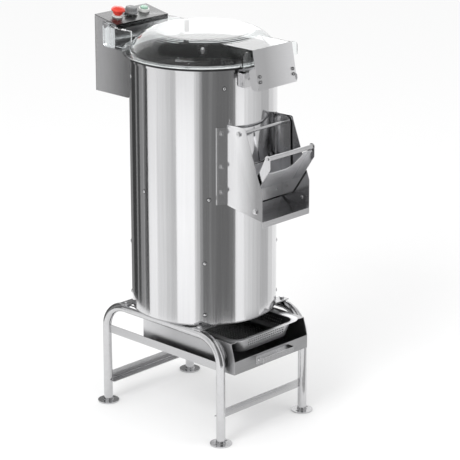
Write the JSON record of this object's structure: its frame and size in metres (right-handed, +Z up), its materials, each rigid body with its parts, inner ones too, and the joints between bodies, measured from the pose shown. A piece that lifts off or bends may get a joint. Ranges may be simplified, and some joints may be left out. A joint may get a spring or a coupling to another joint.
{
  "type": "electric potato peeler",
  "caption": "Floor-standing electric potato peeler: steel drum with abrasive disc, discharge chute and door, clear hinged lid, control box and filter drawer in a tube stand.",
  "frame": {"origin": "on the floor on the drum's vertical axis, midway between the four feet", "axes": "+Z up, -Y towards the discharge chute and drawer, +X to the right as seen from the front"},
  "size_m": [0.436, 0.6483, 1.1198],
  "materials": {
    "brushed": "brushed",
    "polished": "satin",
    "zinc": "zinc plated",
    "cast": "cast",
    "motor": "painted",
    "abrasive": "gritty",
    "rubber": "matt",
    "clear": "clear polycarbonate",
    "brass": "plain",
    "red": "gloss",
    "grey_plastic": "moulded",
    "green_plastic": "translucent",
    "white_plastic": "moulded",
    "black_plastic": "moulded"
  },
  "bodies": {
    "machine": {"left_frame": "polished", "right_frame": "polished", "foot_flanges": "polished", "door_rod": "polished", "rod_collars": "polished", "left_side_rail": "brushed", "right_side_rail": "brushed", "front_lower_bar": "brushed", "rear_lower_bar": "brushed", "stand_brackets": "brushed", "drum_shell": "brushed", "base_plate": "brushed", "drum_floor": "brushed", "mouth_frame": "brushed", "drain_pipe": "brushed", "chute_left_side": "brushed", "chute_right_side": "brushed", "chute_floor": "brushed", "sensor_bracket": "brushed", "control_case": "brushed", "control_panel": "brushed", "rear_cover": "brushed", "motor_plate": "brushed", "stand_bolts": "zinc", "pan_head_screws": "zinc", "chute_bolts": "zinc", "lid_hinge_pins": "zinc", "shaft_bearings": "zinc", "bearing_housing": "cast", "motor_body": "motor", "abrasive_lining": "abrasive", "rim_gasket": "rubber", "shaft_seal": "rubber", "drive_belt": "rubber", "water_inlet": "brass", "control_collars": "white_plastic", "cable_gland": "black_plastic"},
    "drawer": {"drawer_tray": "brushed", "drawer_handle": "brushed", "drawer_screws": "zinc", "filter_pan": "brushed"},
    "disc": {"abrasive_disc": "abrasive", "disc_cap": "polished", "disc_shaft": "polished", "driven_pulley": "cast"},
    "motor_rotor": {"motor_shaft": "polished", "motor_pulley": "cast"},
    "discharge_door": {"door_left_side": "brushed", "door_right_side": "brushed", "closing_plate": "brushed", "door_panel": "brushed", "door_grip": "polished", "door_gasket": "rubber"},
    "lid": {"lid_dome": "clear", "lid_hinge_lugs": "clear", "lid_front_plate": "brushed", "lid_magnets": "black_plastic"},
    "stop_cap": {"stop_button": "red"},
    "timer_dial": {"timer_knob": "grey_plastic"},
    "start_cap": {"start_button": "green_plastic"}
  },
  "joints": [
    {"name": "drawer_slide", "type": "slide", "parent": "machine", "child": "drawer", "axis": [0, -1, 0], "range_m": [0, 0.25]},
    {"name": "disc_spin", "type": "hinge", "parent": "machine", "child": "disc", "pos_m": [0, 0, 0.6], "axis": [0, 0, 1], "continuous": true},
    {"name": "motor_spin", "type": "hinge", "parent": "machine", "child": "motor_rotor", "pos_m": [0, 0.121, 0.5], "axis": [0, 0, 1], "continuous": true},
    {"name": "door_swing", "type": "hinge", "parent": "machine", "child": "discharge_door", "pos_m": [0, -0.22, 0.8546], "axis": [-1, 0, 0], "range_deg": [0, 70]},
    {"name": "lid_hinge", "type": "hinge", "parent": "machine", "child": "lid", "pos_m": [0, 0.267, 1.071], "axis": [-1, 0, 0], "range_deg": [0, 90]},
    {"name": "stop_press", "type": "slide", "parent": "machine", "child": "stop_cap", "axis": [0, 0.184, -0.9829], "range_m": [0, 0.004], "stiffness_N_per_m": 400, "springref_m": -0.002},
    {"name": "timer_turn", "type": "hinge", "parent": "machine", "child": "timer_dial", "pos_m": [0, 0.28005, 1.08643], "axis": [0, 0.184, -0.9829], "range_deg": [0, 300]},
    {"name": "start_press", "type": "slide", "parent": "machine", "child": "start_cap", "axis": [0, 0.184, -0.9829], "range_m": [0, 0.0025], "stiffness_N_per_m": 300, "springref_m": -0.002}
  ],
  "couplings": [
    {"joint": "motor_spin", "follows": "disc_spin", "ratio": 3.9108}
  ]
}
